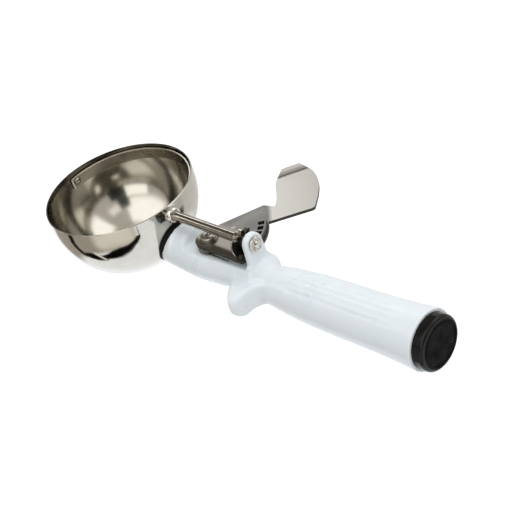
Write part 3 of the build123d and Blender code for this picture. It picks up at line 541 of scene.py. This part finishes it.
# The floor touches the bowl's underside and the lowest point of the handle's butt
bowl_radius = -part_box("bowl")[0].z
handle_low, handle_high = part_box("handle")
floor_tilt = math.asin((bowl_radius + handle_low.z) / handle_high.x)
floor_run = FLOOR_HALF * math.cos(floor_tilt)
floor_rise = FLOOR_HALF * math.sin(floor_tilt)
floor_drop = bowl_radius / math.cos(floor_tilt)
floor_corners = [
    (x * floor_run, y * FLOOR_HALF, x * floor_rise - floor_drop)
    for x, y in ((-1, -1), (1, -1), (1, 1), (-1, 1))
]
floor = staged("floor", floor_corners, [(0, 1, 2, 3)], floor_material)
floor.visible_glossy = False
floor.visible_diffuse = False

# A card's mesh step in degrees, and a strip's cover across its width as (share of the half width, cover)
CARD_STEP = 2.0
STRIP_PROFILE = ((-1.0, 0.0), (-0.5, 1.0), (0.7, 1.0), (1.0, 0.0))


def towards(azimuth, elevation, distance):
    """The point at a distance from the bowl's centre, by azimuth from +X to +Y and elevation in degrees."""
    a, e = math.radians(azimuth), math.radians(elevation)
    return (
        distance * math.cos(a) * math.cos(e),
        distance * math.sin(a) * math.cos(e),
        distance * math.sin(e),
    )


def only_mirrored(card, cover):
    """Hides a card from the camera and from everything but reflections, and gives its points their cover."""
    card.data.attributes.new("cover", "FLOAT", "POINT").data.foreach_set("value", cover)
    card.visible_camera = False
    card.visible_diffuse = False
    card.visible_transmission = False
    card.visible_volume_scatter = False
    card.visible_shadow = False


def mirror_card(name, azimuths, elevations, soft, colour, strength, distance):
    """A curved card that only reflections show, between two azimuths and two elevations, with soft edges."""
    columns = math.ceil((azimuths[1] - azimuths[0]) / CARD_STEP)
    rows = math.ceil((elevations[1] - elevations[0]) / CARD_STEP)
    points = []
    cover = []
    for j in range(rows + 1):
        for i in range(columns + 1):
            azimuth = azimuths[0] + (azimuths[1] - azimuths[0]) * i / columns
            elevation = elevations[0] + (elevations[1] - elevations[0]) * j / rows
            points.append(towards(azimuth, elevation, distance))
            to_side = min(azimuth - azimuths[0], azimuths[1] - azimuth)
            to_end = min(elevation - elevations[0], elevations[1] - elevation)
            cover.append(eased(to_side / soft) * eased(to_end / soft) if soft else 1.0)
    faces = [
        (corner, corner + 1, corner + columns + 2, corner + columns + 1)
        for j in range(rows)
        for corner in range(j * (columns + 1), j * (columns + 1) + columns)
    ]
    only_mirrored(staged(name, points, faces, glow(name, colour, strength)), cover)


def mirror_strip(name, path, colour, strength, distance):
    """A tapering strip along (azimuth, elevation, half width) points that only reflections show."""
    points = [towards(a, e + side * half, distance) for a, e, half in path for side, _ in STRIP_PROFILE]
    cover = [share for _ in path for _, share in STRIP_PROFILE]
    across = len(STRIP_PROFILE)
    faces = []
    for i in range(len(path) - 1):
        for side in range(across - 1):
            corner = across * i + side
            faces.append((corner, corner + across, corner + across + 1, corner + 1))
    only_mirrored(staged(name, points, faces, glow(name, colour, strength)), cover)


# What the steel mirrors: name, azimuths, elevations, soft edge, colour, strength, distance.
# A nearer card covers a farther one.
ROOM = (
    ("room_above", (-180, 180), (-2, 90), 0, "#8a8377", 0.55, 2.9),
    ("room_below", (-180, 180), (-90, 0), 0, "#eef1f6", 1.42, 2.9),
    ("room_side", (-180, -30), (-48, 2), 6, "#a29c93", 1.35, 2.8),
    ("room_side_near", (-106, -24), (-50, 4), 18, "#e2ded6", 1.35, 2.75),
    ("dark_streak", (-143, -131), (-48, -8), 3, "#1c1814", 1.0, 2.7),
    ("pale_notch", (-116, -108), (-57, -42), 2, "#d6d2ca", 1.6, 1.85),
    ("cap_dark", (29, 62), (-58, -30), 8, "#1c1b1a", 1.0, 2.75),
    ("far_side", (36, 172), (-50, 4), 8, "#d6d6d4", 1.2, 2.8),
    ("side_horizon", (50, 150), (8, 19), 4, "#fffaf2", 1.4, 2.7),
    ("rear_horizon", (-180, -118), (8, 19), 4, "#e8e0d4", 0.8, 2.7),
    ("front_ceiling", (-132, 102), (12, 90), 9, "#d8d4cc", 0.95, 2.65),
    ("far_ceiling", (102, 240), (66, 90), 7, "#d8d2c8", 1.0, 2.6),
    ("left_softbox", (-132, -24), (28, 84), 14, "#fdfcfa", 1.75, 2.5),
    ("right_softbox", (26, 108), (20, 66), 12, "#fdfcfa", 1.8, 2.5),
    ("wedge", (-22, 14), (34, 54), 8, "#f4f1ec", 1.4, 2.4),
    ("dark_gap", (-45, -6), (2, 33), 4, "#2c2c2a", 0.8, 2.35),
    ("dark_gap_top", (-46, -12), (24, 54), 10, "#3c3c3a", 0.9, 2.3),
    ("small_window", (-80, -37), (6, 35), 4, "#fffefa", 1.75, 2.25),
    ("rod_strip", (-159, -142), (16, 38), 4, "#fffcf6", 3.0, 2.2),
    ("rim_glint", (134, 156), (29, 40), 3, "#fffefa", 3.0, 2.2),
)
for card in ROOM:
    mirror_card(*card)

# The dark line under the room's near side: azimuth, elevation, half width
DARK_EDGE = (
    (-136, -46, 3),
    (-128, -48, 8),
    (-118, -50, 9),
    (-106, -53, 5),
    (-93, -54, 7),
    (-80, -53, 10),
    (-66, -51, 10),
    (-52, -49, 8),
    (-40, -43, 6),
    (-27, -34, 3),
)
mirror_strip("dark_edge", DARK_EDGE, "#120f0d", 1.0, 1.9)

# The point that the softboxes face
SCOOP_MIDDLE = Vector((0.08, 0, 0))


def soft_light(name, azimuth, elevation, distance, size, power):
    """A square softbox that lights the scoop but shows in no reflection."""
    data = bpy.data.lights.new(name, "AREA")
    data.shape = "SQUARE"
    data.size = size
    data.energy = power
    lamp = bpy.data.objects.new(name, data)
    bpy.context.scene.collection.objects.link(lamp)
    lamp.location = Vector(towards(azimuth, elevation, distance)) + SCOOP_MIDDLE
    lamp.rotation_euler = (SCOOP_MIDDLE - lamp.location).to_track_quat("-Z", "Y").to_euler()
    lamp.visible_glossy = False


soft_light("key_softbox", 10, 72, 1.3, 1.0, 6)
soft_light("far_softbox", 110, 45, 1.3, 0.9, 2)

WORLD_STRENGTH = 0.88
world = bpy.data.worlds.new("pale_studio")
world.use_nodes = True
world.node_tree.nodes["Background"].inputs["Color"].default_value = linear("#f6f6f6")
world.node_tree.nodes["Background"].inputs["Strength"].default_value = WORLD_STRENGTH
bpy.context.scene.world = world
bpy.context.scene.view_settings.view_transform = "Standard"


# ------------------------------------------------------------------ camera
CAMERA_LENS_MM = 83.08
CAMERA_PLACE = (0.45788, -0.25969, 0.31678)
CAMERA_TURN_DEGREES = (52.1818, 15.5726, 42.6338)
camera_data = bpy.data.cameras.new("camera")
camera_data.lens = CAMERA_LENS_MM
camera_data.sensor_width = 36.0
camera_data.clip_start = 0.01
camera = bpy.data.objects.new("camera", camera_data)
bpy.context.scene.collection.objects.link(camera)
camera.location = CAMERA_PLACE
camera.rotation_euler = tuple(math.radians(angle) for angle in CAMERA_TURN_DEGREES)
bpy.context.scene.camera = camera
